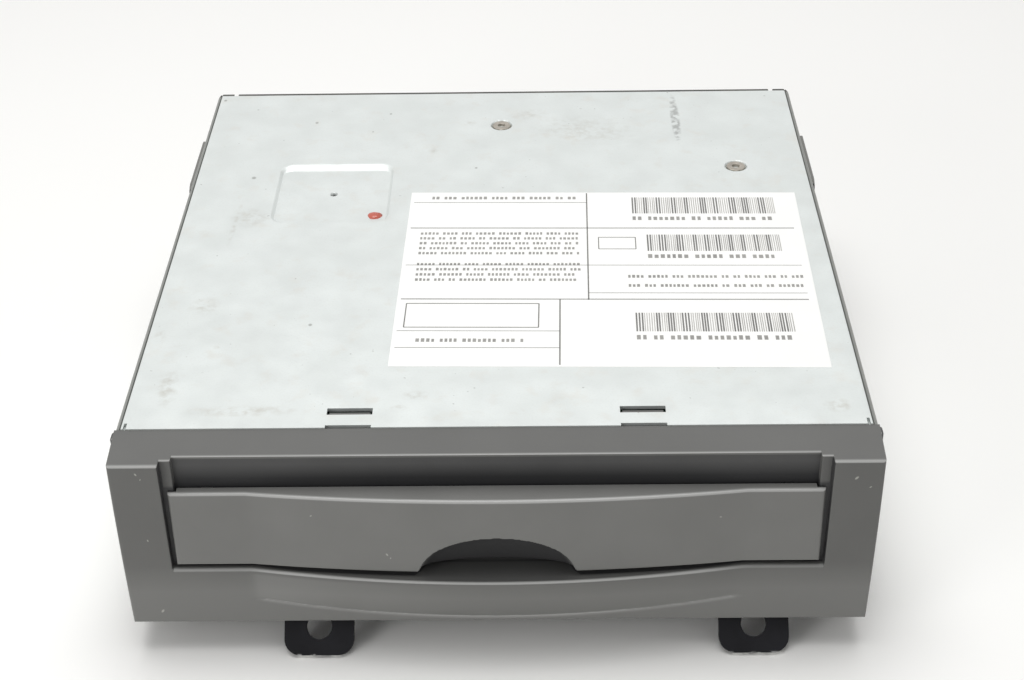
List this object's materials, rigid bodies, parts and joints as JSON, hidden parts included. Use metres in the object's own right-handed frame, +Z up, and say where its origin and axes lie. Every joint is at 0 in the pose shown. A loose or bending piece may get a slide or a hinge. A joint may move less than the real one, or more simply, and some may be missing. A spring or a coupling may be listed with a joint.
{
  "type": "car navigation disc drive",
  "caption": "Slot-loading car navigation disc drive: steel case on a black bracket, dark fascia with a sliding dust door and eject button, full disc mechanism inside.",
  "frame": {"origin": "on the floor, under the middle of the whole part's box", "axes": "+X to the right seen from the front, +Y to the back (the fascia faces -Y), +Z up"},
  "size_m": [0.1846, 0.2056, 0.0579],
  "materials": {
    "zinc_steel": "zinc plated, satin",
    "chassis_steel": "zinc plated, satin",
    "black_steel": "black electrocoat, satin",
    "fascia_plastic": "fine spark texture",
    "black_plastic": "moulded, satin",
    "blue_plastic": "moulded, satin",
    "white_plastic": "moulded, satin",
    "grey_plastic": "moulded, satin",
    "felt": "felt",
    "board_green": "solder resist",
    "chip_black": "moulded epoxy",
    "pad_grey": "soft thermal gel",
    "label_paper": "printed film",
    "ribbon": "polyester film",
    "rubber": "moulded rubber",
    "bright_steel": "ground steel",
    "clamp_steel": "stamped steel",
    "cast_metal": "die cast",
    "screw_bronze": "browned zinc",
    "screw_steel": "zinc plated",
    "gold_pins": "gold flash",
    "lens_glass": "coated lens"
  },
  "bodies": {
    "root": {"top_cover": "zinc_steel", "chassis": "chassis_steel", "rear_panel": "chassis_steel", "drive_frame": "chassis_steel", "receiver_shield": "chassis_steel", "mounting_bracket": "black_steel", "fascia": "fascia_plastic", "eject_switch": "black_plastic", "main_socket": "black_plastic", "fibre_socket": "black_plastic", "gyro_sensor": "black_plastic", "aux_socket": "blue_plastic", "disc_guide": "white_plastic", "slot_felts": "felt", "main_board": "board_green", "front_board": "board_green", "drive_board": "board_green", "processor": "chip_black", "memory_chips": "chip_black", "thermal_pad": "pad_grey", "rating_label": "label_paper", "ribbon_cable": "ribbon", "rubber_dampers": "rubber", "clamp_pin": "bright_steel", "guide_rods": "bright_steel", "loading_motor": "bright_steel", "spindle_motor": "bright_steel", "sled_motor": "bright_steel", "board_standoffs": "bright_steel", "capacitors": "bright_steel", "traverse_plate": "cast_metal", "cover_screws": "screw_bronze", "bracket_screws": "screw_steel", "rear_screws": "screw_steel", "board_screws": "screw_steel", "damper_screws": "screw_steel", "traverse_screws": "screw_steel", "main_pins": "gold_pins", "aux_pins": "gold_pins", "antenna_jack": "gold_pins"},
    "door": {"dust_door": "fascia_plastic"},
    "eject": {"eject_button": "black_plastic"},
    "feed": {"feed_roller": "rubber", "roller_shaft": "bright_steel", "roller_gear": "white_plastic"},
    "reduction": {"reduction_gear": "white_plastic"},
    "feed_motor": {"motor_pinion": "white_plastic", "motor_shaft": "bright_steel"},
    "spindle": {"spindle_shaft": "bright_steel", "turntable": "grey_plastic"},
    "clamp": {"clamp_arm": "clamp_steel", "clamp_leaf_spring": "bright_steel"},
    "puck": {"clamper": "white_plastic"},
    "slider": {"mode_slider": "chassis_steel"},
    "sled": {"pickup_sled": "grey_plastic", "objective_lens": "lens_glass"},
    "screw": {"lead_screw": "bright_steel"}
  },
  "joints": [
    {"name": "door_slide", "type": "slide", "parent": "root", "child": "door", "axis": [0, 0, 1], "range_m": [0, 0.0089]},
    {"name": "eject_press", "type": "slide", "parent": "root", "child": "eject", "axis": [0, 1, 0], "range_m": [0, 0.0008], "stiffness_N_per_m": 400, "springref_m": -0.001},
    {"name": "feed_turn", "type": "hinge", "parent": "root", "child": "feed", "pos_m": [0, -0.0669, 0.0263], "axis": [1, 0, 0], "continuous": true},
    {"name": "reduction_turn", "type": "hinge", "parent": "root", "child": "reduction", "pos_m": [0.071, -0.0534, 0.02464], "axis": [1, 0, 0], "continuous": true},
    {"name": "feed_motor_turn", "type": "hinge", "parent": "root", "child": "feed_motor", "pos_m": [0.07, -0.04118, 0.01868], "axis": [1, 0, 0], "continuous": true},
    {"name": "spindle_turn", "type": "hinge", "parent": "root", "child": "spindle", "pos_m": [0, -0.0169, 0.029], "axis": [0, 0, 1], "continuous": true},
    {"name": "slider_slide", "type": "slide", "parent": "root", "child": "slider", "axis": [0, 1, 0], "range_m": [0, 0.008]},
    {"name": "clamp_swing", "type": "hinge", "parent": "root", "child": "clamp", "pos_m": [0, 0.0531, 0.0368], "axis": [-1, 0, 0], "range_deg": [0, 5]},
    {"name": "puck_turn", "type": "hinge", "parent": "clamp", "child": "puck", "pos_m": [0, -0.0169, 0.036], "axis": [0, 0, 1], "continuous": true},
    {"name": "sled_slide", "type": "slide", "parent": "root", "child": "sled", "axis": [0, 1, 0], "range_m": [0, 0.033]},
    {"name": "screw_turn", "type": "hinge", "parent": "root", "child": "screw", "pos_m": [0.034, 0.0231, 0.0253], "axis": [0, 1, 0], "continuous": true}
  ],
  "couplings": [
    {"joint": "feed_turn", "follows": "reduction_turn", "ratio": -0.41667},
    {"joint": "feed_motor_turn", "follows": "reduction_turn", "ratio": -3.25},
    {"joint": "clamp_swing", "follows": "slider_slide", "rad_per_m": 10.908},
    {"joint": "puck_turn", "follows": "spindle_turn", "ratio": 1},
    {"joint": "screw_turn", "follows": "sled_slide", "rad_per_m": 2094.4}
  ]
}
